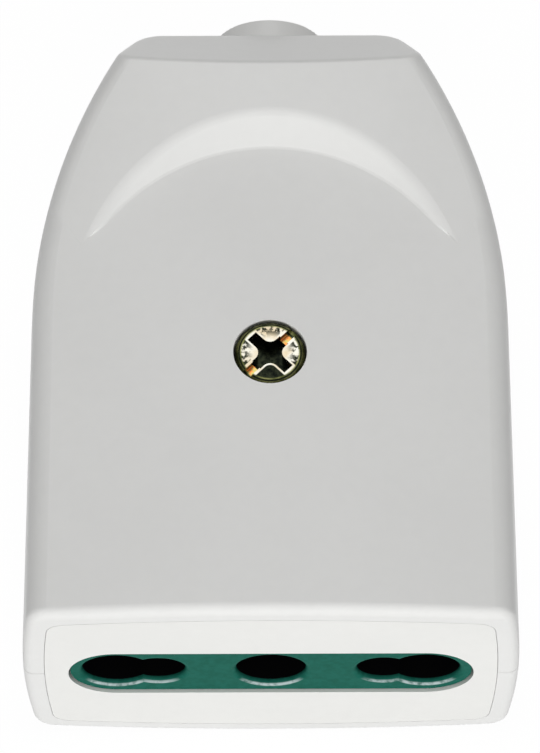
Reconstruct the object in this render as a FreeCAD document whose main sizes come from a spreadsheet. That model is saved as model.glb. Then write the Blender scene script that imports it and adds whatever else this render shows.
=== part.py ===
import FreeCAD, Part
import os
import re
from math import asin, cos, hypot, pi, radians, sin, tan

import Sketcher

# In-line power socket for round-pin plugs: two moulded half shells around a face plate, a pin guide,
# a sprung safety shutter, three split-sleeve contacts with box terminals and a cord clamp.
# Frame: the mating face is Y = 0 and the plug leaves towards -Y, the cord leaves towards +Y,
# the shells part at Z = 0 and the earth pin's axis is X = Z = 0. Millimetres.

SIZES = {
    # case, seen from above
    "face_margin": 3.82,
    "side_draft": 0.66,
    "straight_side": 30.1,
    "side_arc": 49.88,
    "rear_corner": 3.4,
    "rear_wall": 58.71,
    # case, seen from the side and the front
    "half_height": 12.65,
    "side_bulge": 90.0,
    "top_slope": 4.5,
    "top_crown": 180.0,
    "hump_drop": 1.8,
    "hump_crown": 75.0,
    "scoop_centre": 28.3,
    "scoop_radius": 17.0,
    "scoop_wall_angle": 33.5,
    "scoop_crest": 1.4,
    "scoop_foot": 0.4,
    "bevel_margin": 0.45,
    "bevel_angle": 44.0,
    "wall": 1.8,
    "edge_round": 2.0,
    "plate_corner": 1.6,
    "front_round": 0.85,
    "bevel_round": 0.6,
    "bevel_end_round": 1.0,
    "parting_break": 0.12,
    # cord entry
    "collar_radius": 4.75,
    "collar_end": 60.42,
    "collar_round": 0.15,
    "cord_radius": 3.7,
    # face plate and pin guide
    "plate_gap": 0.04,
    "plate_thickness": 1.6,
    "plate_flange": 1.2,
    "groove_depth": 0.8,
    "window_round": 4.05,
    "big_pin_pitch": 13.0,
    "small_pin_pitch": 9.5,
    "guide_gap": 0.17,
    "guide_recess": 0.25,
    "guide_flange": 1.0,
    "guide_half_height": 6.5,
    "big_hole": 2.9,
    "small_hole": 2.3,
    "earth_hole": 2.95,
    "hole_lip": 0.45,
    # shutter
    "slide_gap": 0.2,
    "shutter_depth": 4.6,
    "shutter_bottom": 2.75,
    "shutter_top": 3.5,
    "shutter_edge": 0.8,
    "bridge_bottom": 3.05,
    "wing_inner": 6.9,
    "spring_x": 11.2,
    "spring_radius": 0.85,
    "spring_wire": 0.15,
    "spring_turns": 7.0,
    "spring_pocket": 2.2,
    "seat_drop": 3.2,
    "spring_room": 0.15,
    "pocket_wall": 0.6,
    # contact carrier
    "carrier_side_gap": 0.8,
    "carrier_drop": 5.2,
    "carrier_length": 11.3,
    "carrier_front_wall": 1.6,
    "rail_width": 2.0,
    "rail_drop": 4.6,
    # contacts
    "strip": 0.7,
    "grip": 0.05,
    "sleeve_gap": 0.12,
    "sleeve_length": 9.2,
    "sleeve_slit": 0.45,
    "slit_length": 7.2,
    "big_pin": 2.5,
    "small_pin": 2.0,
    "tail_width": 4.6,
    "tail_lane": 4.2,
    "lane_width": 1.6,
    # terminals
    "terminal_x": 11.2,
    "terminal_width": 6.0,
    "terminal_length": 7.0,
    "terminal_half_height": 3.3,
    "terminal_wall": 0.7,
    "terminal_front": 22.4,
    "earth_terminal_front": 30.8,
    "terminal_screw_radius": 1.5,
    "terminal_head_radius": 2.3,
    "terminal_head": 1.5,
    "terminal_screw_top": 6.3,
    "wire_room": 1.4,
    "driver_slot": 0.7,
    "driver_depth": 0.8,
    # housing screw and insert
    "screw_y": 24.93,
    "screw_hole": 3.12,
    "screw_head_radius": 3.02,
    "screw_head": 2.3,
    "head_sink": 0.2,
    "screw_round": 0.6,
    "screw_radius": 1.5,
    "screw_clearance": 0.2,
    "screw_tip": 7.4,
    "slot_width": 0.8,
    "slot_depth": 0.7,
    "recess_width": 1.0,
    "recess_depth": 1.5,
    "recess_reach": 2.2,
    "recess_slot_reach": 1.65,
    "recess_round": 0.75,
    "boss_radius": 3.9,
    "insert_radius": 2.4,
    "insert_top": 0.6,
    "insert_length": 6.2,
    # cord clamp
    "clamp_front": 42.5,
    "clamp_length": 5.0,
    "clamp_thickness": 3.1,
    "clamp_room": 0.45,
    "clamp_half_width": 9.6,
    "clamp_screw_x": 7.0,
    "clamp_screw_radius": 1.5,
    "clamp_head_radius": 2.4,
    "clamp_head": 1.3,
    "clamp_screw_tip": 4.0,
    "post_radius": 2.6,
    "saddle_half_width": 4.8,
    "saddle_drop": 2.2,
    "saddle_grip": 0.3,
    # supports in the shells
    "rib": 1.4,
    "rib_half_width": 14.0,
    "stop_top": 4.4,
}

# Sizes that follow from those above.
DERIVED = {
    "half_width": "big_pin_pitch + window_round + face_margin",
    "hump_height": "half_height - hump_drop",
    "scoop_floor": "half_height - tan(top_slope) * (scoop_centre + scoop_radius)",
    "bevel_start": "rear_wall - (hump_height - collar_radius - bevel_margin) / tan(bevel_angle)",
    # depths behind the mating face, front to back
    "plate_back": "plate_thickness + plate_flange",
    "guide_back": "plate_back + guide_flange",
    "shutter_front": "guide_back + slide_gap",
    "shutter_back": "shutter_front + shutter_depth",
    "carrier_front": "shutter_back + slide_gap",
    "chamber_front": "carrier_front + carrier_front_wall",
    "carrier_back": "carrier_front + carrier_length",
    "sleeve_front": "chamber_front + sleeve_gap",
    "web_front": "sleeve_front + sleeve_length - strip",
    "sleeve_back": "web_front + strip",
    "crossing": "screw_y + boss_radius + screw_clearance",
    "clamp_middle": "clamp_front + clamp_length / 2",
    "clamp_back": "clamp_front + clamp_length",
    # widths and radii
    "carrier_half_width": "half_width - wall - carrier_side_gap",
    "wing_outer": "carrier_half_width - rail_width - slide_gap",
    "pocket_radius": "spring_radius + spring_wire + spring_room",
    "spring_y": "shutter_back - pocket_radius - pocket_wall",
    "big_sleeve": "big_pin - grip + strip",
    "small_sleeve": "small_pin - grip + strip",
    "lane_side": "tail_lane + lane_width",
    # heights
    "carrier_half_height": "half_height - carrier_drop",
    "rail_top": "half_height - rail_drop",
    "spring_seat": "half_height - seat_drop",
    "tail_bottom": "terminal_wall - terminal_half_height",
    "tail_top": "tail_bottom + strip",
    "terminal_seat": "terminal_screw_top - terminal_head",
    "screw_seat": "half_height - tan(top_slope) * screw_y - head_sink - screw_head",
    "clamp_top": "half_height - tan(top_slope) * clamp_back - wall - clamp_head - clamp_room",
    "clamp_bottom": "clamp_top - clamp_thickness",
}

doc = FreeCAD.newDocument("inline_socket")
sheet = doc.addObject("Spreadsheet::Sheet", "sizes")
cells = {alias: str(value) for alias, value in SIZES.items()}
cells.update({alias: f"={text}" for alias, text in DERIVED.items()})
for row, (alias, content) in enumerate(cells.items(), start=1):
    sheet.set(f"A{row}", alias)
    sheet.set(f"B{row}", content)
    sheet.setAlias(f"B{row}", alias)
doc.recompute()

ALIAS = re.compile(r"\b(" + "|".join(cells) + r")\b")
FAR = 90.0
LEAD = 10.0
NEAR = 0.1


def formula(text):
    """Write a formula on the sheet's names as an expression of the document."""
    return ALIAS.sub(r"sizes.\1", str(text))


def number(text):
    """The value that a formula on the sheet's names has now."""
    found = sheet.evalExpression(formula(text))
    return float(getattr(found, "Value", found))


def bind(thing, **sizes):
    """Tie properties to formulas. A double underscore stands for the dot of a sub-property."""
    for name, text in sizes.items():
        thing.setExpression(name.replace("__", "."), formula(text))
    return thing


def place(thing, x=0, y=0, z=0):
    return bind(thing, Placement__Base__x=x, Placement__Base__y=y, Placement__Base__z=z)


def box(name, x, y, z):
    """A block between three pairs of formulas."""
    solid = doc.addObject("Part::Box", name)
    bind(solid, Length=f"({x[1]}) - ({x[0]})", Width=f"({y[1]}) - ({y[0]})", Height=f"({z[1]}) - ({z[0]})")
    return place(solid, x[0], y[0], z[0])


ALONG = {
    "y": FreeCAD.Rotation(FreeCAD.Vector(1, 0, 0), -90),
    "z": FreeCAD.Rotation(),
}


def rod(name, axis, radius, span, x=0, y=0, z=0):
    """A round bar along Y or Z. The coordinate along its axis comes from its span."""
    solid = doc.addObject("Part::Cylinder", name)
    solid.Placement = FreeCAD.Placement(FreeCAD.Vector(), ALONG[axis])
    bind(solid, Radius=radius, Height=f"({span[1]}) - ({span[0]})")
    if axis == "y":
        return place(solid, x, span[0], z)
    return place(solid, x, y, span[0])


def ring(name, axis, major, minor, x=0, y=0, z=0):
    solid = doc.addObject("Part::Torus", name)
    solid.Placement = FreeCAD.Placement(FreeCAD.Vector(), ALONG[axis])
    bind(solid, Radius1=major, Radius2=minor)
    return place(solid, x, y, z)


def fuse(name, *solids):
    joined = doc.addObject("Part::MultiFuse", name)
    joined.Shapes = list(solids)
    joined.Refine = True
    return joined


def common(name, *solids):
    shared = doc.addObject("Part::MultiCommon", name)
    shared.Shapes = list(solids)
    shared.Refine = True
    return shared


def cut(name, base, *tools):
    rest = doc.addObject("Part::Cut", name)
    rest.Base = base
    rest.Tool = tools[0] if len(tools) == 1 else fuse(f"{name}_tools", *tools)
    rest.Refine = True
    return rest


def mirror(name, source, normal):
    turned = doc.addObject("Part::Mirroring", name)
    turned.Source = source
    turned.Normal = FreeCAD.Vector(*normal)
    return turned


def rounded(name, base, rounds):
    """Round a solid. Each entry gives a radius and the test that picks its edges."""
    doc.recompute()
    shape = base.Shape
    picked = []
    for radius, chosen in rounds:
        size = number(radius)
        picked += [(i, size, size) for i, edge in enumerate(shape.Edges, start=1) if chosen(shape, edge)]
    solid = doc.addObject("Part::Fillet", name)
    solid.Base = base
    solid.Edges = picked
    return solid


def between(*kinds):
    """A test for edges where two kinds of surface meet."""
    wanted = sorted(f"Part::Geom{kind}" for kind in kinds)

    def test(shape, edge):
        faces = shape.ancestorsOfType(edge, Part.Face)
        return sorted(face.Surface.TypeId for face in faces) == wanted

    return test


SUB_PARTS = []


def sub_part(name, thing):
    """Name a finished piece for its file."""
    thing.Label = name
    SUB_PARTS.append(thing)
    return thing


# Case forms. Every form of the case, outside, cavity, plate and groove, is the same half body
# drawn at another inset: a bulged loft of the plan outline under a crowned, sloping top.

def plan_outline(name, inset, front, level):
    """The body seen from above at one level: straight sides that arc into a rounded rear."""
    sketch = doc.addObject("Sketcher::SketchObject", name)
    place(sketch, z=level)
    half = number(f"half_width - ({inset})")
    start = number(front)
    straight = number("straight_side")
    arc = number(f"side_arc - ({inset})")
    corner = number(f"rear_corner - ({inset})")
    rear = number(f"rear_wall - ({inset})")
    lean = radians(number("side_draft"))
    vector = FreeCAD.Vector
    normal = vector(0, 0, 1)
    side_start = vector(half - start * tan(lean), start, 0)
    side_end = vector(half - straight * tan(lean), straight, 0)
    arc_centre = side_end - vector(arc * cos(lean), arc * sin(lean), 0)
    turn = asin((rear - corner - arc_centre.y) / (arc - corner))
    corner_centre = arc_centre + vector((arc - corner) * cos(turn), (arc - corner) * sin(turn), 0)
    flip = lambda p: vector(-p.x, p.y, 0)
    circle = lambda centre, radius: Part.Circle(centre, normal, radius)
    line = Part.LineSegment
    rear_right = vector(corner_centre.x, rear, 0)
    sketch.addGeometry([
        line(flip(side_start), side_start),
        line(side_start, side_end),
        Part.ArcOfCircle(circle(arc_centre, arc), lean, turn),
        Part.ArcOfCircle(circle(corner_centre, corner), turn, pi / 2),
        line(rear_right, flip(rear_right)),
        Part.ArcOfCircle(circle(flip(corner_centre), corner), pi / 2, pi - turn),
        Part.ArcOfCircle(circle(flip(arc_centre), arc), pi - turn, pi - lean),
        line(flip(side_end), flip(side_start)),
    ], False)
    rule = Sketcher.Constraint
    front_line, right_side, right_arc, right_corner = range(4)
    rear_line, left_corner, left_arc, left_side = range(4, 8)
    rules = [rule("Coincident", front_line, 2, right_side, 1)]
    rules += [rule("Coincident", left_side, 2, front_line, 1)]
    rules += [rule("Tangent", i, 2, i + 1, 1) for i in range(right_side, left_side)]
    rules += [rule("Symmetric", front_line, 1, front_line, 2, -2)]
    rules += [rule("Symmetric", left_side, 1, right_side, 2, -2)]
    rules += [rule("Horizontal", rear_line)]
    rules += [rule("Equal", right_arc, left_arc), rule("Equal", right_corner, left_corner)]
    sketch.addConstraint(rules)
    driven = [
        (rule("Angle", right_side, pi / 2 + lean), "(90 + side_draft) * 1 deg"),
        (rule("DistanceX", -1, 1, right_side, 2, side_end.x),
         f"half_width - ({inset}) - straight_side * tan(side_draft)"),
        (rule("DistanceY", -1, 1, front_line, 2, start), front),
        (rule("DistanceY", -1, 1, right_side, 2, straight), "straight_side"),
        (rule("Radius", right_arc, arc), f"side_arc - ({inset})"),
        (rule("DistanceY", -1, 1, rear_line, 1, rear), f"rear_wall - ({inset})"),
        (rule("Radius", right_corner, corner), f"rear_corner - ({inset})"),
    ]
    for constraint, text in driven:
        index = sketch.addConstraint(constraint)
        sketch.setExpression(f"Constraints[{index}]", formula(text))
    return sketch


def bulged_body(name, inset, front):
    """The plan outline lofted upwards from the parting plane, drawn in along the side's bulge."""
    levels = ["0", "half_height / 2", "half_height + 1"]
    sections = []
    for i, level in enumerate(levels):
        bulge = f"({inset}) + ({level}) ^ 2 / (2 * side_bulge)"
        sections.append(plan_outline(f"{name}_outline_{i}", bulge, front, level))
    loft = doc.addObject("Part::Loft", name)
    loft.Sections = sections
    loft.Solid = True
    loft.Ruled = False
    return loft


def sloping_top(name, drop):
    """A wide bar whose upper side is the crowned top, sloping down to the rear."""
    bar = doc.addObject("Part::Cylinder", name)
    bar.Placement = FreeCAD.Placement(FreeCAD.Vector(), FreeCAD.Rotation(FreeCAD.Vector(1, 0, 0), -90))
    bind(bar, Radius=f"top_crown - ({drop})", Height=FAR)
    bind(bar, Placement__Rotation__Angle="-(90 + top_slope) * 1 deg")
    return place(
        bar,
        y=f"-{LEAD} * cos(top_slope) - top_crown * sin(top_slope)",
        z=f"half_height + {LEAD} * sin(top_slope) - top_crown * cos(top_slope)",
    )


def rear_bevel(name, depth):
    """A block whose underside is the bevel across the rear of the top."""
    block = doc.addObject("Part::Box", name)
    block.Placement = FreeCAD.Placement(FreeCAD.Vector(), FreeCAD.Rotation(FreeCAD.Vector(1, 0, 0), -30))
    bind(block, Length=FAR, Width=FAR, Height=FAR, Placement__Rotation__Angle="-bevel_angle * 1 deg")
    return place(
        block,
        x=-FAR / 2,
        y=f"bevel_start - {LEAD} * cos(bevel_angle) - ({depth}) * sin(bevel_angle)",
        z=f"hump_height + {LEAD} * sin(bevel_angle) - ({depth}) * cos(bevel_angle)",
    )


def half_form(name, inset, front, bevel_inset):
    """Half of the case at an inset, without the hump: the body under the sloping top and the bevel."""
    body = bulged_body(f"{name}_body", inset, front)
    capped = common(f"{name}_capped", body, sloping_top(f"{name}_top", inset))
    return cut(name, capped, rear_bevel(f"{name}_bevel", bevel_inset))


def front_slab(name, inset, start, end):
    """A slice of the half case at an inset, between two depths behind the mating face."""
    slab = box(f"{name}_slab", (-FAR / 2, FAR / 2), (start, end), ("0", "half_height"))
    body = bulged_body(f"{name}_body", inset, f"{start} - wall")
    return common(name, body, sloping_top(f"{name}_top", inset), slab)


def on_front(shape, edge):
    return edge.BoundBox.YMax < NEAR and edge.BoundBox.ZMax > number("wall")


def on_rim(shape, edge):
    """Edges where the top meets the sides."""
    return between("BSplineSurface", "Cylinder")(shape, edge) and not on_front(shape, edge)


def on_bevel_rim(shape, edge):
    return between("BSplineSurface", "Plane")(shape, edge) and edge.BoundBox.ZMin > number("wall")


def on_scoop_wall(shape, edge):
    return between("Cone", "Cylinder")(shape, edge)


def on_scoop_crest(shape, edge):
    """The scoop wall's upper edge, on the hump."""
    return on_scoop_wall(shape, edge) and edge.BoundBox.ZMax > number("(scoop_floor + hump_height) / 2")


def on_scoop_foot(shape, edge):
    """The scoop wall's lower edge, on the sloping top."""
    return on_scoop_wall(shape, edge) and not on_scoop_crest(shape, edge)


def on_parting_line(shape, edge):
    return edge.BoundBox.ZMax < NEAR


# Outside of the case: the finger scoop is a cone cut into the crowned rear hump.
hump_bar = rod("hump_bar", "y", "hump_crown", ("scoop_centre - wall", FAR), z="hump_height - hump_crown")
scoop = doc.addObject("Part::Cone", "scoop")
scoop.Placement = FreeCAD.Placement(FreeCAD.Vector(), FreeCAD.Rotation(FreeCAD.Vector(0, 0, 1), -90))
bind(
    scoop,
    Radius1="scoop_radius - wall / tan(scoop_wall_angle)",
    Radius2="scoop_radius + half_height / tan(scoop_wall_angle)",
    Height="wall + half_height",
)
place(scoop, y="scoop_centre", z="scoop_floor - wall")
outer_top = fuse("outer_top", sloping_top("outer_slope", "0"), cut("hump", hump_bar, scoop))
outer_capped = common("outer_capped", bulged_body("outer_body", "0", "0"), outer_top)
outer_sharp = cut("outer_sharp", outer_capped, rear_bevel("outer_bevel", "0"))
outer_round = rounded("outer_round", outer_sharp, [
    ("edge_round", on_rim),
    ("bevel_end_round", on_bevel_rim),
    ("bevel_round", between("Cylinder", "Plane")),
    ("front_round", on_front),
    ("scoop_crest", on_scoop_crest),
    ("scoop_foot", on_scoop_foot),
])
doc.recompute()
outer_half = doc.addObject("Part::Chamfer", "outer_half")
outer_half.Base = outer_round
outer_half.Edges = [
    (i, number("parting_break"), number("parting_break"))
    for i, edge in enumerate(outer_round.Shape.Edges, start=1)
    if on_parting_line(outer_round.Shape, edge)
]

# Inside of the case, and the groove that holds the face plate's flange.
cavity_sharp = half_form("cavity_sharp", "wall", "-wall", "wall + plate_corner")
cavity = rounded("cavity", cavity_sharp, [("plate_corner", on_rim)])
groove = front_slab("groove", "wall - groove_depth", "plate_thickness", "plate_back + plate_gap")

# What both shells carry inside: the screw pillar and two ribs against the contact carrier.

def into_wall(y):
    """A height inside the wall of the sloping top, at a distance behind the mating face."""
    return f"(half_height - tan(top_slope) * ({y}) - wall / 2)"


SIDES = {"left": -1, "right": 1}
half_space = box("half_space", (-FAR / 2, FAR / 2), (-FAR, FAR), ("0", FAR))
collar_bar = rod("collar_bar", "y", "collar_radius", ("rear_wall - rear_corner", "collar_end"))
collar_rounded = rounded("collar_rounded", collar_bar, [
    ("collar_round", lambda shape, edge: edge.BoundBox.YMin > number("collar_end") - NEAR),
])
collar = common("collar", collar_rounded, half_space)
pillar = rod("pillar", "z", "boss_radius", ("0", into_wall("screw_y + boss_radius")), y="screw_y")
ribs = [
    box(f"carrier_rib_{place_along}", ("-rib_half_width", "rib_half_width"), (y, f"{y} + rib"),
        ("carrier_half_height", into_wall(f"{y} + rib")))
    for place_along, y in [("front", "carrier_front + rib"), ("rear", "carrier_back - 2 * rib")]
]
hollow = cut("hollow", fuse("outer_with_collar", outer_half, collar), cavity)
shell_wall = cut("shell_wall", hollow, groove)
cord_bore = rod("cord_bore", "y", "cord_radius", ("bevel_start", "collar_end + wall"))
blank = cut("blank", fuse("wall_and_inside", shell_wall, pillar, *ribs), cord_bore)

# Upper shell: screw hole with a flat seat, and two seats for the shutter springs.
spring_seats = [
    rod(f"spring_seat_{name}", "z", "pocket_radius + spring_room",
        ("spring_seat", into_wall("shutter_back")), x=f"{side} * spring_x", y="spring_y")
    for name, side in SIDES.items()
]
upper_shell = sub_part("upper_shell", cut(
    "upper_shell",
    fuse("upper_blank", blank, *spring_seats),
    rod("screw_sink", "z", "screw_hole", ("screw_seat", "half_height + wall"), y="screw_y"),
    rod("screw_passage", "z", "screw_radius + screw_clearance", ("-wall", "half_height"), y="screw_y"),
))

# Lower shell: the mirrored blank, with posts and a saddle for the cord clamp, stops and terminal rests.
lower_blank = mirror("lower_blank", blank, (0, 0, 1))
posts = [
    rod(f"post_{name}", "z", "post_radius", (f"-{into_wall('clamp_back')}", "clamp_bottom"),
        x=f"{side} * clamp_screw_x", y="clamp_middle")
    for name, side in SIDES.items()
]
post_bores = [
    rod(f"post_bore_{name}", "z", "clamp_screw_radius", ("-clamp_screw_tip", "clamp_top"),
        x=f"{side} * clamp_screw_x", y="clamp_middle")
    for name, side in SIDES.items()
]
saddle = cut(
    "saddle",
    box("saddle_block", ("-saddle_half_width", "saddle_half_width"), ("clamp_front", "clamp_back"),
        (f"-{into_wall('clamp_back')}", "-saddle_drop")),
    rod("saddle_bore", "y", "cord_radius - saddle_grip", ("clamp_front - wall", "clamp_back + wall")),
)
stops = [
    box(f"carrier_stop_{name}", (f"{side} * rib_half_width - rib", f"{side} * rib_half_width + rib"),
        ("carrier_back", "carrier_back + rib"), (f"-{into_wall('carrier_back + rib')}", "-stop_top"))
    for name, side in SIDES.items()
]
POLES = {
    "line": ("terminal_x", "terminal_front"),
    "neutral": ("-terminal_x", "terminal_front"),
    "earth": ("0", "earth_terminal_front"),
}
rests = [
    box(f"{pole}_rest", (f"{x} - terminal_width / 2", f"{x} + terminal_width / 2"),
        (f"{front} + rib", f"{front} + 3 * rib"),
        (f"-{into_wall(f'{front} + 3 * rib')}", "-terminal_half_height"))
    for pole, (x, front) in POLES.items()
]
lower_shell = sub_part("lower_shell", cut(
    "lower_shell",
    fuse("lower_with_inside", lower_blank, saddle, *posts, *stops, *rests),
    *post_bores,
    rod("insert_bore", "z", "insert_radius", ("-insert_top - insert_length", "wall"), y="screw_y"),
    rod("screw_end_room", "z", "screw_radius + screw_clearance",
        ("-screw_tip - screw_clearance", "0"), y="screw_y"),
))


# Face plate: its flange sits in the groove of both shells, and its window shows the pin guide.

def pill(name, radius, span):
    """A long hole or boss with round ends on the axes of the outer pins."""
    ends = [
        rod(f"{name}_{end}_end", "y", radius, span, x=f"{side} * big_pin_pitch")
        for end, side in SIDES.items()
    ]
    middle = box(f"{name}_middle", ("-big_pin_pitch", "big_pin_pitch"), span, (f"-({radius})", radius))
    return fuse(name, *ends, middle)


plate_front = rounded("plate_front", front_slab("plate_sharp", "wall + plate_gap", "0", "plate_back"), [
    ("plate_corner - plate_gap", on_rim),
])
plate_edge = front_slab("plate_edge", "wall - groove_depth + plate_gap", "plate_thickness", "plate_back")
plate_half = fuse("plate_half", plate_front, plate_edge)
face_plate = sub_part("face_plate", cut(
    "face_plate",
    fuse("plate_whole", plate_half, mirror("plate_other_half", plate_half, (0, 0, 1))),
    pill("window", "window_round", ("-wall", "plate_back + wall")),
))


# Pin guide: a recessed boss in the window with a lipped hole for every pin, and a flange behind the plate.

PIN_HOLES = [
    ("left_big", "-big_pin_pitch", "big_hole"),
    ("left_small", "-small_pin_pitch", "small_hole"),
    ("earth", "0", "earth_hole"),
    ("right_small", "small_pin_pitch", "small_hole"),
    ("right_big", "big_pin_pitch", "big_hole"),
]


def lip(name, radius, x):
    """The flared mouth of a pin hole: a disc less the ring that rounds its edge."""
    mouth = f"{radius} + hole_lip"
    disc = rod(f"{name}_disc", "y", mouth, ("guide_recess - wall", "guide_recess + hole_lip"), x=x)
    return cut(name, disc, ring(f"{name}_ring", "y", mouth, "hole_lip", x=x, y="guide_recess + hole_lip"))


guide_boss = pill("guide_boss", "window_round - guide_gap", ("guide_recess", "plate_back"))
guide_edge = box("guide_edge", ("-carrier_half_width", "carrier_half_width"), ("plate_back", "guide_back"),
                 ("-guide_half_height", "guide_half_height"))
guide_holes = [
    rod(f"guide_hole_{name}", "y", radius, ("-wall", "guide_back + wall"), x=x)
    for name, x, radius in PIN_HOLES
]
guide_lips = [lip(f"guide_lip_{name}", radius, x) for name, x, radius in PIN_HOLES]
pin_guide = sub_part("pin_guide", cut(
    "pin_guide", fuse("guide_blank", guide_boss, guide_edge), *guide_holes, *guide_lips))


# Shutter: two ramped wings joined by a bridge over the earth hole. Both live pins together push it up.

def origin_plane(body, role):
    return next(feature for feature in body.Origin.OriginFeatures if feature.Role == role)


def profile(body, name, role, corners):
    """A closed straight-sided sketch on one of the body's planes, with formulas for its corners."""
    sketch = body.newObject("Sketcher::SketchObject", name)
    sketch.AttachmentSupport = [(origin_plane(body, role), "")]
    sketch.MapMode = "FlatFace"
    points = [FreeCAD.Vector(number(u), number(v), 0) for u, v in corners]
    count = len(points)
    for i in range(count):
        sketch.addGeometry(Part.LineSegment(points[i], points[(i + 1) % count]), False)
    for i in range(count):
        sketch.addConstraint(Sketcher.Constraint("Coincident", i, 2, (i + 1) % count, 1))
    for i, (u, v) in enumerate(corners):
        for kind, text, value in (("DistanceX", u, points[i].x), ("DistanceY", v, points[i].y)):
            index = sketch.addConstraint(Sketcher.Constraint(kind, -1, 1, i, 1, value))
            sketch.setExpression(f"Constraints[{index}]", formula(text))
    return sketch


def rectangle(body, name, role, u, v):
    return profile(body, name, role, [(u[0], v[0]), (u[1], v[0]), (u[1], v[1]), (u[0], v[1])])


def feature(body, kind, name, sketch, **sizes):
    """Add a pad, pocket or revolution of a sketch to a body."""
    step = body.newObject(f"PartDesign::{kind}", name)
    step.Profile = sketch
    return bind(step, **sizes)


def symmetric(step):
    step.SideType = "Symmetric"
    return step


shutter_body = doc.addObject("PartDesign::Body", "shutter_body")
ramp = profile(shutter_body, "ramp", "YZ_Plane", [
    ("shutter_front", "shutter_top"),
    ("shutter_back", "shutter_top"),
    ("shutter_back", "-shutter_bottom"),
    ("shutter_back - shutter_edge", "-shutter_bottom"),
])
symmetric(feature(shutter_body, "Pad", "wings", ramp, Length="2 * wing_outer"))
earth_gap = rectangle(shutter_body, "earth_gap", "XZ_Plane", ("-wing_inner", "wing_inner"),
                      ("-half_height", "bridge_bottom"))
symmetric(feature(shutter_body, "Pocket", "earth_way", earth_gap, Length=2 * FAR))
spring_pockets = [
    rod(f"spring_pocket_{name}", "z", "pocket_radius", ("shutter_top - spring_pocket", "half_height"),
        x=f"{side} * spring_x", y="spring_y")
    for name, side in SIDES.items()
]
shutter = sub_part("shutter", cut("shutter", shutter_body, *spring_pockets))


# Shutter springs: closed at rest between their pockets in the shutter and their seats in the upper shell.

def coil_spring(name, x):
    low = "(shutter_top - spring_pocket + spring_wire)"
    helix = doc.addObject("Part::Helix", f"{name}_path")
    bind(helix, Radius="spring_radius", Height=f"spring_seat - spring_wire - {low}")
    bind(helix, Pitch=f"(spring_seat - spring_wire - {low}) / spring_turns")
    place(helix, x, "spring_y", low)
    wire = doc.addObject("Part::Circle", f"{name}_wire")
    wire.Placement = FreeCAD.Placement(FreeCAD.Vector(), FreeCAD.Rotation(FreeCAD.Vector(1, 0, 0), 90))
    bind(wire, Radius="spring_wire")
    place(wire, f"{x} + spring_radius", "spring_y", low)
    sweep = doc.addObject("Part::Sweep", name)
    sweep.Sections = [wire]
    sweep.Spine = (helix, [])
    sweep.Solid = True
    sweep.Frenet = True
    return sub_part(name, sweep)


coil_spring("shutter_spring_left", "-spring_x")
coil_spring("shutter_spring_right", "spring_x")

# Contact carrier: a block with a chamber for each sleeve, rails and ledges for the shutter in front.
carrier_block = box("carrier_block", ("-carrier_half_width", "carrier_half_width"),
                    ("carrier_front", "carrier_back"), ("-carrier_half_height", "carrier_half_height"))
rails = [
    box(f"rail_{name}",
        (f"{side} * (wing_outer + slide_gap + rail_width / 2) - rail_width / 2",
         f"{side} * (wing_outer + slide_gap + rail_width / 2) + rail_width / 2"),
        ("guide_back", "carrier_front"), ("-guide_half_height", "rail_top"))
    for name, side in SIDES.items()
]
ledges = [
    box(f"ledge_{name}",
        (f"{side} * (wing_inner + wing_outer) / 2 - (wing_outer - wing_inner) / 2",
         f"{side} * (wing_inner + wing_outer) / 2 + (wing_outer - wing_inner) / 2"),
        ("shutter_back - 2 * shutter_edge", "carrier_front"), ("-shutter_bottom - rib", "-shutter_bottom"))
    for name, side in SIDES.items()
]
CHAMBERS = [
    ("left_big", "-big_pin_pitch", "big"),
    ("left_small", "-small_pin_pitch", "small"),
    ("earth", "0", "big"),
    ("right_small", "small_pin_pitch", "small"),
    ("right_big", "big_pin_pitch", "big"),
]
carrier_holes = [
    rod(f"carrier_hole_{name}", "y", radius, ("carrier_front", "chamber_front"), x=x)
    for name, x, radius in PIN_HOLES
]
chambers = [
    rod(f"chamber_{name}", "y", f"{kind}_sleeve + sleeve_gap",
        ("chamber_front", "carrier_back + wall"), x=x)
    for name, x, kind in CHAMBERS
]
TAIL_WAYS = {
    "left": ("-terminal_x - tail_width / 2", "-terminal_x + tail_width / 2"),
    "right": ("terminal_x - tail_width / 2", "terminal_x + tail_width / 2"),
    "earth": ("0", "tail_lane + lane_width"),
}
tail_slots = [
    box(f"tail_slot_{name}", (f"{low} - sleeve_gap", f"{high} + sleeve_gap"),
        ("web_front - sleeve_gap", "carrier_back + wall"),
        ("tail_bottom - sleeve_gap", "tail_top + sleeve_gap"))
    for name, (low, high) in TAIL_WAYS.items()
]
contact_carrier = sub_part("contact_carrier", cut(
    "contact_carrier", fuse("carrier_blank", carrier_block, *rails, *ledges),
    *carrier_holes, *chambers, *tail_slots))


# Contacts: sleeves slit into two springy jaws, closed at the back by a web, with a strip as a tail.

def sleeve(name, pins):
    """A sleeve around one pin place or two that run together."""
    outer = [rod(f"{name}_outer_{i}", "y", f"{kind}_sleeve", ("sleeve_front", "sleeve_back"), x=x)
             for i, (x, kind) in enumerate(pins)]
    inner = [rod(f"{name}_inner_{i}", "y", f"{kind}_sleeve - strip",
                 ("sleeve_front", "web_front"), x=x) for i, (x, kind) in enumerate(pins)]
    slit = box(f"{name}_slit", (-FAR / 2, FAR / 2), ("sleeve_front", "sleeve_front + slit_length"),
               ("-sleeve_slit", "sleeve_slit"))
    round_bar = outer[0] if len(outer) == 1 else fuse(f"{name}_outer", *outer)
    return cut(f"{name}_sleeve", round_bar, *inner, slit)


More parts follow.
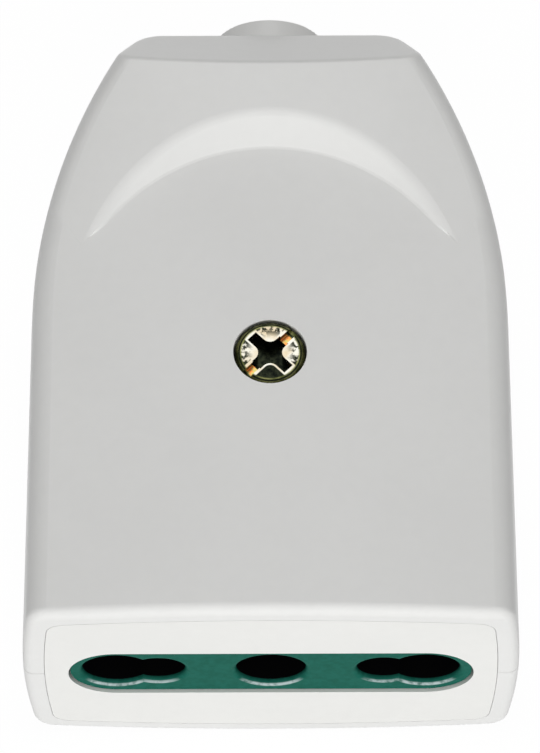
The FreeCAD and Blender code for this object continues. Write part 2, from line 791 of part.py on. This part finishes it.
live_tail = box("live_tail", TAIL_WAYS["right"],
                ("web_front", "terminal_front + terminal_length"), ("tail_bottom", "tail_top"))
live_sleeve = sleeve("live", [("small_pin_pitch", "small"), ("big_pin_pitch", "big")])
line_contact = sub_part("line_contact", fuse("line_contact", live_sleeve, live_tail))
neutral_contact = sub_part("neutral_contact", mirror("neutral_contact", line_contact, (1, 0, 0)))
earth_path = {
    "step": (("0", "lane_side"), ("web_front", "sleeve_back + screw_clearance")),
    "lane": (("tail_lane", "lane_side"), ("web_front", "crossing + lane_width")),
    "return": (("-tail_width / 2", "lane_side"), ("crossing", "crossing + lane_width")),
    "tail": (("-tail_width / 2", "tail_width / 2"), ("crossing", "earth_terminal_front + terminal_length")),
}
earth_strips = [
    box(f"earth_{name}", x, y, ("tail_bottom", "tail_top")) for name, (x, y) in earth_path.items()
]
earth_sleeve = sleeve("earth", [("0", "big")])
earth_contact = sub_part("earth_contact", fuse("earth_contact", earth_sleeve, *earth_strips))


# Terminals: square frames around each tail, with a screw through the roof that presses the wire down.

def terminal(name, x, front):
    half = "terminal_width / 2"
    span = (front, f"{front} + terminal_length")
    frame = box(f"{name}_frame", (f"{x} - {half}", f"{x} + {half}"), span,
                ("-terminal_half_height", "terminal_half_height"))
    window = box(f"{name}_window", (f"{x} - {half} + terminal_wall", f"{x} + {half} - terminal_wall"), span,
                 ("tail_bottom", "terminal_half_height - 2 * terminal_wall"))
    thread = rod(f"{name}_thread", "z", "terminal_screw_radius", ("0", "half_height"),
                 x=x, y=f"{front} + terminal_length / 2")
    return sub_part(name, cut(name, frame, window, thread))


def turned_screw(name, shank, head, length, head_height, shoulder):
    """A screw with its seat at the body's origin, turned about Z, with the head's upper edge rounded."""
    body = doc.addObject("PartDesign::Body", name)
    half_section = profile(body, f"{name}_section", "XZ_Plane", [
        ("0", f"-({length})"),
        (shank, f"-({length})"),
        (shank, "0"),
        (head, "0"),
        (head, head_height),
        ("0", head_height),
    ])
    turning = feature(body, "Revolution", f"{name}_turning", half_section)
    turning.ReferenceAxis = (half_section, ["V_Axis"])
    doc.recompute()
    corner = FreeCAD.Vector(number(f"{head} - {shoulder}"), 0, number(f"{head_height} - {shoulder}"))
    rims = [
        f"Edge{i}" for i, edge in enumerate(turning.Shape.Edges, start=1)
        if edge.BoundBox.ZMin > corner.z and edge.BoundBox.XMax > corner.x
    ]
    shoulder_round = body.newObject("PartDesign::Fillet", f"{name}_shoulder")
    shoulder_round.Base = (turning, rims)
    bind(shoulder_round, Radius=shoulder)
    return body


def driver_slot(body, name, width, depth, head_height, plane, length):
    """A straight slot across a screw head, cut from its top."""
    section = rectangle(body, f"{name}_section", plane, (f"-({width}) / 2", f"({width}) / 2"),
                        (f"{head_height} - {depth}", f"{head_height} + {depth}"))
    return symmetric(feature(body, "Pocket", name, section, Length=length))


def terminal_screw(name, x, front):
    screw = turned_screw(name, "terminal_screw_radius", "terminal_head_radius",
                         "terminal_seat - tail_top - wire_room", "terminal_head", "screw_round / 2")
    driver_slot(screw, f"{name}_slot", "driver_slot", "driver_depth", "terminal_head", "XZ_Plane", FAR)
    return sub_part(name, place(screw, x, f"{front} + terminal_length / 2", "terminal_seat"))


for pole, (x, front) in POLES.items():
    terminal(f"{pole}_terminal", x, front)
    terminal_screw(f"{pole}_terminal_screw", x, front)

# Cord clamp: a bridge across two posts of the lower shell, arched over the cord.
clamp_bar = box("clamp_bar", ("-clamp_half_width", "clamp_half_width"), ("clamp_front", "clamp_back"),
                ("clamp_bottom", "clamp_top"))
clamp_arch = rod("clamp_arch", "y", "cord_radius", ("clamp_front - wall", "clamp_back + wall"))
clamp_holes = [
    rod(f"clamp_hole_{name}", "z", "clamp_screw_radius + screw_clearance", ("0", "half_height"),
        x=f"{side} * clamp_screw_x", y="clamp_middle")
    for name, side in SIDES.items()
]
cord_clamp = sub_part("cord_clamp", cut("cord_clamp", clamp_bar, clamp_arch, *clamp_holes))
for name, side in SIDES.items():
    screw = turned_screw(f"cord_clamp_screw_{name}", "clamp_screw_radius", "clamp_head_radius",
                         "clamp_top + clamp_screw_tip", "clamp_head", "screw_round / 2")
    driver_slot(screw, f"clamp_slot_{name}", "driver_slot", "driver_depth", "clamp_head", "XZ_Plane", FAR)
    sub_part(f"cord_clamp_screw_{name}", place(screw, f"{side} * clamp_screw_x", "clamp_middle", "clamp_top"))

# Housing screw: a pan head with a rounded edge, a cross recess and a slot along one arm of the cross.
housing_screw = turned_screw("housing_screw", "screw_radius", "screw_head_radius",
                             "screw_seat + screw_tip", "screw_head", "screw_round")
for plane, reach in (("XZ_Plane", "recess_slot_reach"), ("YZ_Plane", "recess_reach")):
    driver_slot(housing_screw, f"cross_arm_{plane[:2].lower()}", "recess_width", "recess_depth",
                "screw_head", plane, f"2 * {reach}")
doc.recompute()
crossed = housing_screw.Tip
inner_corners = [
    f"Edge{i}" for i, edge in enumerate(crossed.Shape.Edges, start=1)
    if edge.BoundBox.XLength + edge.BoundBox.YLength < NEAR
    and hypot(edge.BoundBox.Center.x, edge.BoundBox.Center.y) < number("recess_width")
]
land_round = housing_screw.newObject("PartDesign::Fillet", "land_round")
land_round.Base = (crossed, inner_corners)
bind(land_round, Radius="recess_round")
driver_slot(housing_screw, "full_slot", "slot_width", "slot_depth", "screw_head", "XZ_Plane", FAR)
housing_screw.Placement.Rotation = FreeCAD.Rotation(FreeCAD.Vector(0, 0, 1), -45)
sub_part("housing_screw", place(housing_screw, 0, "screw_y", "screw_seat"))

# Housing insert: the threaded sleeve in the lower shell's pillar.
insert_blank = rod("insert_blank", "z", "insert_radius",
                   ("-insert_top - insert_length", "-insert_top"), y="screw_y")
insert_thread = rod("insert_thread", "z", "screw_radius", ("-half_height", "half_height"), y="screw_y")
sub_part("housing_insert", cut("housing_insert", insert_blank, insert_thread))

doc.recompute()
failed = [thing.Name for thing in doc.Objects if {"Invalid", "Error"} & set(thing.State)]
failed += [piece.Label for piece in SUB_PARTS if piece.Shape.isNull() or not piece.Shape.isValid()]
if failed:
    raise RuntimeError(f"these did not build: {failed}")
os.makedirs("parts", exist_ok=True)
for piece in SUB_PARTS:
    piece.Shape.exportStep(f"parts/{piece.Label}.step")
    print(piece.Label, len(piece.Shape.Solids), round(piece.Shape.Volume, 2))
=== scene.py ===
from math import radians

import bpy
from mathutils import Matrix, Vector


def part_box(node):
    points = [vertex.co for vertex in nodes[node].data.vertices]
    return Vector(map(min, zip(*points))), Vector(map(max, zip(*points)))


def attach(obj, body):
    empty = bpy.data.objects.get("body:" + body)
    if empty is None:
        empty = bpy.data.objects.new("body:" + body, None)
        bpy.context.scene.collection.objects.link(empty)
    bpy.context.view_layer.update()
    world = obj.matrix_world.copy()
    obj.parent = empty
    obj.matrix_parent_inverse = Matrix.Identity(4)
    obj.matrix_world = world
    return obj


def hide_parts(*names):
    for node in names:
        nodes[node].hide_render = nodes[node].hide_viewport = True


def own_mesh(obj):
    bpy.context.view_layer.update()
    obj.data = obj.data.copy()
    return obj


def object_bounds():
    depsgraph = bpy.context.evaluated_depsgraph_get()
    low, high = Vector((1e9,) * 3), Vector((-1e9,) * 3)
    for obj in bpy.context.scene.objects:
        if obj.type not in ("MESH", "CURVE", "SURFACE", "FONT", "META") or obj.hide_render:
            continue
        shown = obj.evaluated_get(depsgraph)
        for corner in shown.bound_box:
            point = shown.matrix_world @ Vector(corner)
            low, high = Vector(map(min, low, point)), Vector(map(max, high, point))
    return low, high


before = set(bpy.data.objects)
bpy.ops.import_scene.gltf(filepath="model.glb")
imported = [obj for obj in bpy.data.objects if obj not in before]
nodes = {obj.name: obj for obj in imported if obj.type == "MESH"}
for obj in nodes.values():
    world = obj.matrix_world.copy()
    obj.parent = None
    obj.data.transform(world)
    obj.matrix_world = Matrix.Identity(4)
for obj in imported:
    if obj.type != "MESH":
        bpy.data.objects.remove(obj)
cad_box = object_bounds()


# Half shells: the two outer halves of the case, injection moulded in a white thermoplastic.
# The mould gives them a satin skin with a very fine spark-eroded grain, and they close on
# each other along the parting line, held by one screw.

MM = 0.001


class Wire:
    """One output in a node tree, so that a pattern is written as sums and products."""

    def __init__(self, tree, socket=None):
        self.tree = tree
        self.socket = socket

    def add(self, kind, settings=None, sockets=None, out=0):
        """Add a node: first its settings, then the values or links of its sockets."""
        node = self.tree.nodes.new(kind)
        for name, value in (settings or {}).items():
            setattr(node, name, value)
        for name, value in (sockets or {}).items():
            target = node.inputs[name]
            if isinstance(value, Wire):
                self.tree.links.new(value.socket, target)
            elif target.type == "RGBA":
                target.default_value = (*value, 1.0)
            else:
                target.default_value = value
        return Wire(self.tree, node.outputs[out])

    def maths(self, operation, first, second=0.0):
        return self.add("ShaderNodeMath", {"operation": operation}, {0: first, 1: second})

    def __add__(self, other):
        return self.maths("ADD", self, other)

    def __sub__(self, other):
        return self.maths("SUBTRACT", self, other)

    def __rsub__(self, other):
        return self.maths("SUBTRACT", other, self)

    def __mul__(self, other):
        return self.maths("MULTIPLY", self, other)

    __radd__ = __add__
    __rmul__ = __mul__

    def root(self):
        return self.maths("SQRT", self)

    def size(self):
        return self.maths("ABSOLUTE", self)

    def at_least(self, least):
        return self.maths("MAXIMUM", self, least)

    def axis(self, letter):
        """One coordinate of a vector."""
        return self.add("ShaderNodeSeparateXYZ", {}, {"Vector": self}, out=letter)

    def rise(self, low, high):
        """A smooth step from 0 at low to 1 at high."""
        ends = {"Value": self, "From Min": low, "From Max": high}
        return self.add("ShaderNodeMapRange", {"interpolation_type": "SMOOTHSTEP"}, ends)

    def tint(self, first, second):
        """A colour that goes from first to second as this value goes from 0 to 1."""
        factor, colour_a, colour_b, result = 0, 6, 7, 2
        sockets = {factor: self, colour_a: first, colour_b: second}
        return self.add("ShaderNodeMix", {"data_type": "RGBA"}, sockets, out=result)


class Finish:
    """A material on one principled shader, with the place on the piece in metres."""

    def __init__(self, name, **fixed):
        self.material = bpy.data.materials.new(name)
        self.material.use_nodes = True
        self.tree = self.material.node_tree
        self.shader = self.tree.nodes["Principled BSDF"]
        for socket, value in fixed.items():
            self.shader.inputs[socket.replace("_", " ")].default_value = value
        self.place = Wire(self.tree).add("ShaderNodeTexCoord", out="Object")

    def grain(self, size, detail=2.0, stretch=(1, 1, 1), seed=0.0):
        """Noise whose features are about this large, in metres."""
        moved = {"Vector": self.place, "Location": (seed, seed, seed), "Scale": stretch}
        place = self.place.add("ShaderNodeMapping", {}, moved)
        noise = {"Vector": place, "Scale": 1.0 / size, "Detail": detail}
        return place.add("ShaderNodeTexNoise", {}, noise)

    def feed(self, socket, wire):
        self.tree.links.new(wire.socket, self.shader.inputs[socket])

    def relief(self, height, depth):
        """Turn a height pattern between 0 and 1 into a bump of this depth, in metres."""
        bump = {"Height": height, "Strength": 1.0, "Distance": depth}
        self.feed("Normal", height.add("ShaderNodeBump", {}, bump))

    def dress(self, *names):
        for name in names:
            nodes[name].material_slots[0].material = self.material


def moulded_white(name, shade, roughness, grain_depth):
    """White plastic with a cloudy tone, an uneven satin sheen and the grain of the mould.
    Returns the finish and its colour."""
    white = Finish(name, IOR=1.49)
    cloud = white.grain(14 * MM, detail=3.0)
    speckle = white.grain(1.1 * MM, detail=4.0, seed=3.0)
    darker = tuple(0.965 * channel for channel in shade)
    colour = (0.7 * cloud + 0.3 * speckle).rise(0.3, 0.7).tint(darker, shade)
    white.feed("Base Color", colour)
    white.feed("Roughness", (cloud - 0.5) * 0.02 + (speckle - 0.5) * 0.02 + roughness)
    fine_grain = white.grain(0.16 * MM, detail=1.0)
    coarse_grain = white.grain(0.6 * MM, seed=7.0)
    white.relief(fine_grain + 0.5 * coarse_grain, grain_depth)
    return white, colour


PARTING_GROOVE = (0.05 * MM, 0.16 * MM)
GROOVE_SHADE = (0.70, 0.70, 0.685)
case_white, case_colour = moulded_white(
    "case_white", (0.80, 0.80, 0.785), roughness=0.30, grain_depth=0.0015 * MM)
# Painted shade: the base colour is darkened in a narrow band along the parting line, where the
# chamfers of the two shells meet.
from_parting = case_white.place.axis("Z").size()
case_white.feed("Base Color", from_parting.rise(*PARTING_GROOVE).tint(GROOVE_SHADE, case_colour))
case_white.dress("upper_shell", "lower_shell")


# Threaded insert: a turned brass bush pressed into the lower shell, so that the case screw
# can be undone many times.

brass = Finish("brass", Metallic=1.0)
rolled = brass.grain(0.5 * MM, detail=4.0, stretch=(1, 1, 0.2))
tarnish = brass.grain(3 * MM, detail=3.0)
brass.feed("Base Color", tarnish.rise(0.35, 0.75).tint((0.72, 0.50, 0.22), (0.46, 0.31, 0.14)))
brass.feed("Roughness", rolled * 0.25 + 0.2)
brass.relief(rolled, 0.004 * MM)
brass.dress("housing_insert")


# Contacts and terminals: split sleeves rolled from brass strip, each with a flat tail in a
# box clamp that grips the wire.

brass.dress("line_contact", "neutral_contact", "earth_contact")
brass.dress("line_terminal", "neutral_terminal", "earth_terminal")


# Contact carrier and shutter: black glass-filled plastic. The carrier keeps the sleeves apart,
# and the shutter closes the live holes until both pins push it up.

BLACK = (0.004, 0.004, 0.0045)
black = Finish("black_plastic", Specular_IOR_Level=0.15)
flow = black.grain(2 * MM, detail=3.0, stretch=(1, 0.3, 1))
black.feed("Base Color", flow.rise(0.3, 0.7).tint(BLACK, (0.007, 0.007, 0.0075)))
black.feed("Roughness", flow * 0.2 + 0.5)
black.relief(black.grain(0.2 * MM), 0.004 * MM)
black.dress("contact_carrier", "shutter")


# Shutter springs: two small coils wound from drawn steel wire. Each stands in a pocket of the
# shutter under a seat of the upper shell, and shortens as the plug's pins lift the shutter.

spring_wire = Finish("spring_wire", Metallic=1.0)
drawn = spring_wire.grain(0.3 * MM, detail=3.0)
spring_wire.feed("Base Color", drawn.rise(0.3, 0.7).tint((0.42, 0.43, 0.45), (0.55, 0.56, 0.58)))
spring_wire.feed("Roughness", drawn * 0.2 + 0.22)

coil = bpy.data.node_groups.new("coil", "GeometryNodeTree")
coil.interface.new_socket("Ends", in_out="INPUT", socket_type="NodeSocketGeometry")
for name in ("Radius", "Pitch", "Turns", "Thickness"):
    coil.interface.new_socket(name, in_out="INPUT", socket_type="NodeSocketFloat")
coil.interface.new_socket("Metal", in_out="INPUT", socket_type="NodeSocketMaterial")
coil.interface.new_socket("Coil", in_out="OUTPUT", socket_type="NodeSocketGeometry")
given = {socket.name: Wire(coil, socket) for socket in coil.nodes.new("NodeGroupInput").outputs}
start = Wire(coil)
helix = start.add("GeometryNodeCurveSpiral", {}, {
    "Resolution": 24,
    "Rotations": given["Turns"],
    "Start Radius": given["Radius"],
    "End Radius": given["Radius"],
    "Height": given["Turns"] * given["Pitch"],
})
upright = start.add("GeometryNodeSetCurveNormal", {"mode": "Z_UP"}, {"Curve": helix})
section = start.add("GeometryNodeCurvePrimitiveCircle", {}, {
    "Resolution": 8,
    "Radius": given["Thickness"] * 0.5,
})
turns = start.add("GeometryNodeCurveToMesh", {}, {
    "Curve": upright,
    "Profile Curve": section,
    "Fill Caps": True,
})
copies = start.add("GeometryNodeInstanceOnPoints", {}, {"Points": given["Ends"], "Instance": turns})
real = start.add("GeometryNodeRealizeInstances", {}, {"Geometry": copies})
metal = start.add("GeometryNodeSetMaterial", {}, {"Geometry": real, "Material": given["Metal"]})
coil.links.new(metal.socket, coil.nodes.new("NodeGroupOutput").inputs["Coil"])


def wind(name, ends, finish, slot, **sizes):
    """Wind a coil upwards from each of these points. Returns them as one piece."""
    points = bpy.data.meshes.new(f"{name}_ends")
    points.from_pydata(ends, [], [])
    holder = bpy.data.objects.new(f"{name}_ends", points)
    bpy.context.scene.collection.objects.link(holder)
    modifier = holder.modifiers.new(name, "NODES")
    modifier.node_group = coil
    inputs = dict(sizes, Metal=finish.material)
    for socket in coil.interface.items_tree:
        if socket.name in inputs:
            modifier[socket.identifier] = inputs[socket.name]
    wound = holder.evaluated_get(bpy.context.evaluated_depsgraph_get())
    piece = bpy.data.objects.new(name, bpy.data.meshes.new_from_object(wound))
    bpy.data.objects.remove(holder)
    bpy.context.scene.collection.objects.link(piece)
    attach(piece, "housing")
    return piece


SPRING_RADIUS = 0.85 * MM
SPRING_THICKNESS = 0.3 * MM
SPRING_TURNS = 7.0
for side in ("left", "right"):
    low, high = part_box(f"shutter_spring_{side}")
    middle = (low + high) / 2
    length = high.z - low.z
    piece = wind(
        f"{side}_spring_coil",
        [(middle.x, middle.y, low.z + SPRING_THICKNESS / 2)],
        spring_wire,
        "spring_steel",
        Radius=SPRING_RADIUS,
        Pitch=(length - SPRING_THICKNESS) / SPRING_TURNS,
        Turns=SPRING_TURNS,
        Thickness=SPRING_THICKNESS,
    )
    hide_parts(f"shutter_spring_{side}")
    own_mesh(piece)


# Cord clamp: a small bridge moulded in a duller white plastic. Two screws pull it down, so
# that it presses the cord on the saddle of the lower shell.

clamp_white, _ = moulded_white(
    "clamp_white", (0.62, 0.62, 0.60), roughness=0.5, grain_depth=0.004 * MM)
clamp_white.dress("cord_clamp")


# Terminal and clamp screws: slotted pan heads in steel, zinc plated and yellow passivated,
# so their tone drifts from pale straw to a warm brown. Their threads are rolled.

def passivated(name):
    """Zinc with the straw and brown tones of its passivation. Returns the finish and its colour."""
    zinc = Finish(name, Metallic=1.0)
    drift = zinc.grain(1.2 * MM, detail=2.0, seed=1.5)
    fine = zinc.grain(0.25 * MM, detail=3.0)
    zinc.feed("Roughness", fine * 0.15 + 0.2)
    zinc.relief(fine, 0.006 * MM)
    return zinc, drift.rise(0.35, 0.75).tint((0.53, 0.52, 0.46), (0.45, 0.38, 0.26))


def tip(screw):
    """The middle of a screw's lower end."""
    low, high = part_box(screw)
    return ((low.x + high.x) / 2, (low.y + high.y) / 2, low.z)


screw_zinc, screw_tone = passivated("screw_zinc")
screw_zinc.feed("Base Color", screw_tone)
TERMINAL_SCREWS = ["line_terminal_screw", "neutral_terminal_screw", "earth_terminal_screw"]
CLAMP_SCREWS = ["cord_clamp_screw_left", "cord_clamp_screw_right"]
screw_zinc.dress(*TERMINAL_SCREWS, *CLAMP_SCREWS)
wind("terminal_threads", [tip(screw) for screw in TERMINAL_SCREWS], screw_zinc, "zinc_steel",
     Radius=1.5 * MM, Pitch=0.5 * MM, Turns=9.0, Thickness=0.24 * MM)
wind("clamp_threads", [tip(screw) for screw in CLAMP_SCREWS], screw_zinc, "zinc_steel",
     Radius=1.5 * MM, Pitch=0.9 * MM, Turns=6.5, Thickness=0.4 * MM)


# Case screw: a pan head in the same zinc, with a cross recess and a slot. Light and shade are
# painted into its colour: painted shade makes the rounded shoulder dark olive with a darker ring
# and darkens the recess, painted light makes the slot's floor orange at its ends, and the front
# land carries a painted dark reflection, with a painted highlight along the recess edges.

SHOULDER = 2.36 * MM
SHOULDER_BAND = 2.58 * MM
EDGE = 0.08 * MM
LAND_DEPTH = 0.06 * MM
FRONT_LAND = (0.75 * MM, 0.95 * MM)
FLECK_RIM = (1.3 * MM, 2.2 * MM)
SLOT_FLOOR = 0.7 * MM
SLOT_START = 1.62 * MM
ARM_HALF = 0.5 * MM
ARM_ROUND = 0.75 * MM
HIGHLIGHT_RIM = 0.11 * MM
DIAGONAL = 0.5 ** 0.5

case_zinc, bright = passivated("case_screw_zinc")
low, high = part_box("housing_screw")
to_centre = (-(low.x + high.x) / 2, -(low.y + high.y) / 2, -high.z)
centred = {"Vector": case_zinc.place, "Location": to_centre}
local = case_zinc.place.add("ShaderNodeMapping", {}, centred)
across = local.axis("X")
along = local.axis("Y")
depth = 0 - local.axis("Z")
radius = (across * across + along * along).root()
fleck = case_zinc.grain(0.35 * MM, detail=3.0, seed=4.0)
patch = case_zinc.grain(0.9 * MM, detail=2.0, seed=9.0)

# How far a point of a land lies from the cross recess, whose arms run along the diagonals.
reach = ARM_HALF + ARM_ROUND
slot_side = (reach - ((across + along) * DIAGONAL).size()).at_least(0.0)
other_side = (reach - ((across - along) * DIAGONAL).size()).at_least(0.0)
inland = ARM_ROUND - (slot_side * slot_side + other_side * other_side).root()

# The shoulder's dark olive is painted shade, for the shade of the hole that the head sits in.
shaded_olive = patch.rise(0.35, 0.65).tint((0.055, 0.065, 0.020), (0.200, 0.205, 0.080))
# A near-black tone for painted shade in the recess and the shoulder's ring, for the painted dark
# reflection on the front land, and for dark flecks on the lands.
dark_shade = fleck.rise(0.3, 0.8).tint((0.004, 0.005, 0.004), (0.022, 0.026, 0.015))
# Orange at the slot's ends is painted light on the lit end faces.
lit_amber = fleck.rise(0.35, 0.65).tint((0.72, 0.25, 0.07), (0.42, 0.42, 0.13))
# The front land is painted dark: a painted dark reflection.
front_land = (0 - along).rise(*FRONT_LAND)
# Dark flecks on the outer part of the lands.
dark_flecks = radius.rise(*FLECK_RIM) * fleck.rise(0.44, 0.56)
# The bright strip kept along the edges of the recess is a painted highlight.
darkened_land = front_land.at_least(dark_flecks) * inland.rise(HIGHLIGHT_RIM, HIGHLIGHT_RIM + EDGE)
land = darkened_land.tint(bright, dark_shade)
# Below the lands the recess is painted near-black as painted shade, apart from the painted light at
# the slot's ends.
above_floor = 1 - depth.rise(SLOT_FLOOR + EDGE, SLOT_FLOOR + 2 * EDGE)
on_floor = depth.rise(SLOT_FLOOR - 2 * EDGE, SLOT_FLOOR - EDGE) * above_floor
slot_end = on_floor * radius.rise(SLOT_START, SLOT_START + EDGE)
recess = slot_end.tint(dark_shade, lit_amber)
head = depth.rise(LAND_DEPTH, LAND_DEPTH + EDGE).tint(land, recess)
# A narrow dark ring in the shoulder: painted shade.
inside_band = 1 - radius.rise(SHOULDER_BAND + EDGE, SHOULDER_BAND + 2 * EDGE)
band = radius.rise(SHOULDER_BAND - EDGE, SHOULDER_BAND) * inside_band
shoulder = band.tint(shaded_olive, dark_shade)
case_zinc.feed("Base Color", radius.rise(SHOULDER, SHOULDER + 2 * EDGE).tint(head, shoulder))
case_zinc.dress("housing_screw")
wind("case_screw_thread", [tip("housing_screw")], screw_zinc, "zinc_steel",
     Radius=1.5 * MM, Pitch=0.5 * MM, Turns=13.0, Thickness=0.24 * MM)


# Pin guide: the insulating insert that shows in the window, in dark green. Its holes are painted
# black past the lip as painted shade, and a pale painted highlight lies on the lower lip of each
# hole.

LIP_FRONT = (0.25 * MM, 0.28 * MM)
LIP_BACK = (0.36 * MM, 0.46 * MM)
SHADE_DEPTH = (0.72 * MM, 0.82 * MM)
HIGHLIGHT_DROP = (1.6 * MM, 2.7 * MM)
LIP_HIGHLIGHT = (0.46, 0.56, 0.56)

green = Finish("guide_green", Specular_IOR_Level=0.015)
mottle = green.grain(0.5 * MM, detail=4.0)
inwards = green.place.axis("Y")
downwards = 0 - green.place.axis("Z")
skin = mottle.rise(0.3, 0.7).tint((0.009, 0.104, 0.074), (0.014, 0.128, 0.094))
lip = inwards.rise(*LIP_FRONT) * (1 - inwards.rise(*LIP_BACK))
# A pale streak painted on the lower lip of each hole: a painted highlight.
highlight_streak = lip * downwards.rise(*HIGHLIGHT_DROP) * mottle.rise(0.2, 0.6)
# Past the lip the hole walls turn black: painted shade inside the holes.
green.feed("Base Color", inwards.rise(*SHADE_DEPTH).tint(highlight_streak.tint(skin, LIP_HIGHLIGHT), BLACK))
green.feed("Roughness", mottle * 0.12 + 0.34)
green.relief(green.grain(0.3 * MM), 0.003 * MM)
green.dress("pin_guide")


# Face plate: the white front with the pill-shaped window, moulded in much the same plastic as
# the case. It is held in a groove of both shells around the pin guide.

face_white, _ = moulded_white(
    "face_white", (0.83, 0.83, 0.805), roughness=0.36, grain_depth=0.002 * MM)
face_white.dress("face_plate")


# Studio: a pale paper floor with three soft round lamps, in front, above and behind. The camera
# and glossy surfaces see floor and world as nearly white, and the floor keeps a faint shadow.

def area_light(name, place, target, size, power, mirrored):
    """A round soft lamp. Only a mirrored one shows as a highlight on glossy surfaces."""
    lamp = bpy.data.lights.new(name, "AREA")
    lamp.shape = "DISK"
    lamp.size = size
    lamp.energy = power
    holder = bpy.data.objects.new(name, lamp)
    away = Vector(place) - Vector(target)
    holder.location = place
    holder.rotation_euler = away.to_track_quat("Z", "Y").to_euler()
    holder.visible_glossy = mirrored
    bpy.context.scene.collection.objects.link(holder)


MIDDLE = (0.0, 0.03, 0.0)
area_light("front_light", (0.0, -0.95, 0.24), MIDDLE, size=0.48, power=7.6, mirrored=False)
area_light("top_light", (0.0, 0.0, 1.2), MIDDLE, size=0.4, power=3.35, mirrored=False)
area_light("rear_light", (0.0, 0.6, 1.0), MIDDLE, size=0.8, power=1.75, mirrored=True)

FLOOR_HALF = 3.0
FLOOR_GREY = 0.35
WHITE_SHARE = 0.9
GLOW = 1.08
floor_level = cad_box[0].z
corners = []
for x, y in ((-1, -1), (1, -1), (1, 1), (-1, 1)):
    corners.append((x * FLOOR_HALF, y * FLOOR_HALF, floor_level))
floor_mesh = bpy.data.meshes.new("floor")
floor_mesh.from_pydata(corners, [], [(0, 1, 2, 3)])
floor = bpy.data.objects.new("floor", floor_mesh)
bpy.context.scene.collection.objects.link(floor)


def seen_rays(tree):
    """1 for rays from the camera, and for those that metal or glass sends on."""
    path = tree.nodes.new("ShaderNodeLightPath")
    camera = Wire(tree, path.outputs["Is Camera Ray"])
    glossy = Wire(tree, path.outputs["Is Glossy Ray"])
    through = Wire(tree, path.outputs["Is Transmission Ray"])
    return camera.at_least(glossy).at_least(through)


paper = bpy.data.materials.new("floor_paper")
paper.use_nodes = True
tree = paper.node_tree
tree.nodes.remove(tree.nodes["Principled BSDF"])
start = Wire(tree)
lit = start.add("ShaderNodeBsdfDiffuse", {}, {"Color": (FLOOR_GREY, FLOOR_GREY, FLOOR_GREY)})
glow = start.add("ShaderNodeEmission", {}, {"Color": (1.0, 1.0, 1.0), "Strength": GLOW})
blend = start.add("ShaderNodeMixShader", {}, {0: seen_rays(tree) * WHITE_SHARE, 1: lit, 2: glow})
tree.links.new(blend.socket, tree.nodes["Material Output"].inputs["Surface"])
floor_mesh.materials.append(paper)

WORLD_LEVEL = 0.235
world = bpy.data.worlds.new("studio")
bpy.context.scene.world = world
world.use_nodes = True
tree = world.node_tree
strength = seen_rays(tree) * (1.0 - WORLD_LEVEL) + WORLD_LEVEL
background = tree.nodes["Background"]
background.inputs["Color"].default_value = (1.0, 1.0, 1.0, 1.0)
tree.links.new(strength.socket, background.inputs["Strength"])


# Camera: a long lens above and in front of the socket, as far off as the photograph's own
# perspective asks. It looks down on the top and still sees the mating face.

CAMERA_PLACE = Vector((-0.0135, -212.5, 486.3)) * MM
CAMERA_TILT = radians(26.3)
CAMERA_ROLL = radians(-0.168)
LENS = 301.2

lens = bpy.data.cameras.new("camera")
lens.lens = LENS
lens.sensor_width = 36.0
lens.clip_start = 0.01
lens.clip_end = 20.0
camera = bpy.data.objects.new("camera", lens)
turn = Matrix.Rotation(CAMERA_TILT, 4, "X") @ Matrix.Rotation(CAMERA_ROLL, 4, "Z")
camera.matrix_world = Matrix.Translation(CAMERA_PLACE) @ turn
bpy.context.scene.collection.objects.link(camera)
bpy.context.scene.camera = camera
bpy.context.scene.view_settings.view_transform = "Standard"
